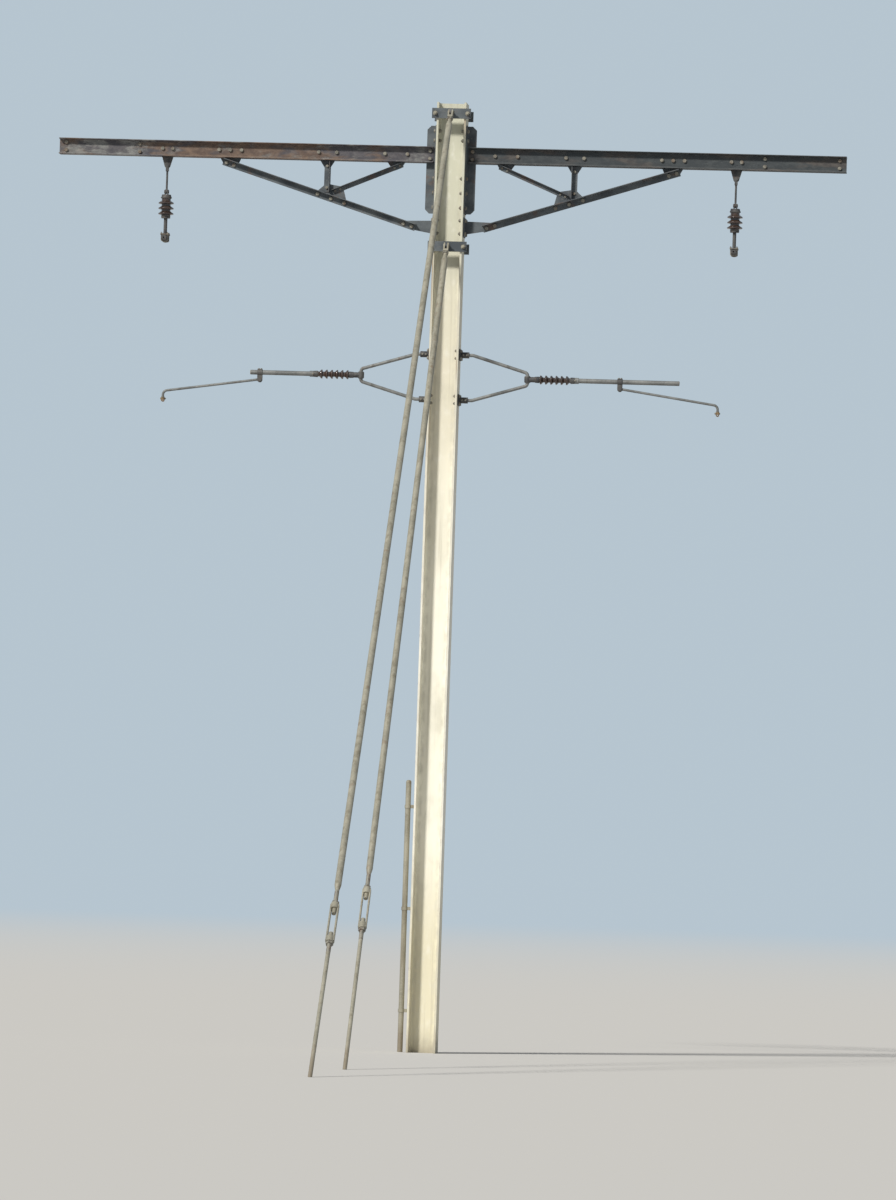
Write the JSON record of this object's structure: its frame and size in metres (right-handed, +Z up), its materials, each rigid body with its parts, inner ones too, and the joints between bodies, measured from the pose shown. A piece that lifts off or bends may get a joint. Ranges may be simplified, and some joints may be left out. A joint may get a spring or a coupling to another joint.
{
  "type": "railway catenary mast",
  "caption": "H-section railway mast with a trussed arm over each track, hanging insulators, swivelling registration arms and ground stays along the line.",
  "frame": {"origin": "centre of the column's foot at ground level", "axes": "+X across the tracks, +Y along the tracks away from the stays, +Z up"},
  "size_m": [7, 9.5032, 8.4],
  "materials": {
    "column_paint": "weathered pale grey-cream paint",
    "arm_paint": "old dark brown paint with rust showing through",
    "truss_paint": "dark blue-grey weathered paint",
    "galvanised_steel": "dull grey zinc coat",
    "cast_fittings": "dark weathered castings and forgings",
    "porcelain": "dark brown glaze",
    "bronze": "dull brown bronze"
  },
  "bodies": {
    "root": {"cable_guard": "galvanised_steel", "cable_guard_clips": "galvanised_steel", "left_arm_channels": "arm_paint", "left_bow_clamps": "cast_fittings", "left_cleat": "truss_paint", "left_diagonal": "truss_paint", "left_foot_lug": "truss_paint", "left_gussets": "truss_paint", "left_hanger": "cast_fittings", "left_post": "truss_paint", "left_registration_bow": "galvanised_steel", "left_strut": "truss_paint", "lower_anchor_rod": "galvanised_steel", "lower_collar_bolts": "galvanised_steel", "lower_stay_collar": "truss_paint", "lower_stay_rod": "galvanised_steel", "lower_turnbuckle": "galvanised_steel", "mast_column": "column_paint", "right_arm_channels": "arm_paint", "right_bow_clamps": "cast_fittings", "right_cleat": "truss_paint", "right_diagonal": "truss_paint", "right_foot_lug": "truss_paint", "right_gussets": "truss_paint", "right_hanger": "cast_fittings", "right_post": "truss_paint", "right_registration_bow": "galvanised_steel", "right_strut": "truss_paint", "upper_anchor_rod": "galvanised_steel", "upper_collar_bolts": "galvanised_steel", "upper_stay_collar": "truss_paint", "upper_stay_rod": "galvanised_steel", "upper_turnbuckle": "galvanised_steel"},
    "left_link": {"left_suspension_link": "cast_fittings"},
    "left_insulator": {"left_insulator_cap": "cast_fittings", "left_suspension_insulator": "porcelain", "left_wire_saddle": "cast_fittings"},
    "left_registration": {"left_swivel": "cast_fittings", "left_registration_insulator": "porcelain", "left_registration_tube": "galvanised_steel", "left_drop_bracket": "cast_fittings"},
    "left_steady": {"left_steady_arm": "galvanised_steel", "left_wire_clip": "bronze"},
    "right_link": {"right_suspension_link": "cast_fittings"},
    "right_insulator": {"right_insulator_cap": "cast_fittings", "right_suspension_insulator": "porcelain", "right_wire_saddle": "cast_fittings"},
    "right_registration": {"right_swivel": "cast_fittings", "right_registration_insulator": "porcelain", "right_registration_tube": "galvanised_steel", "right_drop_bracket": "cast_fittings"},
    "right_steady": {"right_steady_arm": "galvanised_steel", "right_wire_clip": "bronze"}
  },
  "joints": [
    {"name": "left_hanger_sway", "type": "hinge", "parent": "root", "child": "left_link", "pos_m": [-2.53, 0, 7.79], "axis": [0, 1, 0], "range_deg": [-20, 20]},
    {"name": "left_insulator_swing", "type": "hinge", "parent": "left_link", "child": "left_insulator", "pos_m": [-2.53, 0, 7.555], "axis": [1, 0, 0], "range_deg": [-30, 30]},
    {"name": "left_registration_swivel", "type": "hinge", "parent": "root", "child": "left_registration", "pos_m": [-0.74, 0, 5.97], "axis": [0, 0, -1], "range_deg": [-45, 45]},
    {"name": "left_steady_lift", "type": "hinge", "parent": "left_registration", "child": "left_steady", "pos_m": [-1.64, 0, 5.904], "axis": [0, 1, 0], "range_deg": [0, 10]},
    {"name": "right_hanger_sway", "type": "hinge", "parent": "root", "child": "right_link", "pos_m": [2.53, 0, 7.79], "axis": [0, 1, 0], "range_deg": [-20, 20]},
    {"name": "right_insulator_swing", "type": "hinge", "parent": "right_link", "child": "right_insulator", "pos_m": [2.53, 0, 7.555], "axis": [1, 0, 0], "range_deg": [-30, 30]},
    {"name": "right_registration_swivel", "type": "hinge", "parent": "root", "child": "right_registration", "pos_m": [0.74, 0, 5.97], "axis": [0, 0, 1], "range_deg": [-45, 45]},
    {"name": "right_steady_lift", "type": "hinge", "parent": "right_registration", "child": "right_steady", "pos_m": [1.56, 0, 5.904], "axis": [0, -1, 0], "range_deg": [0, 10]}
  ]
}
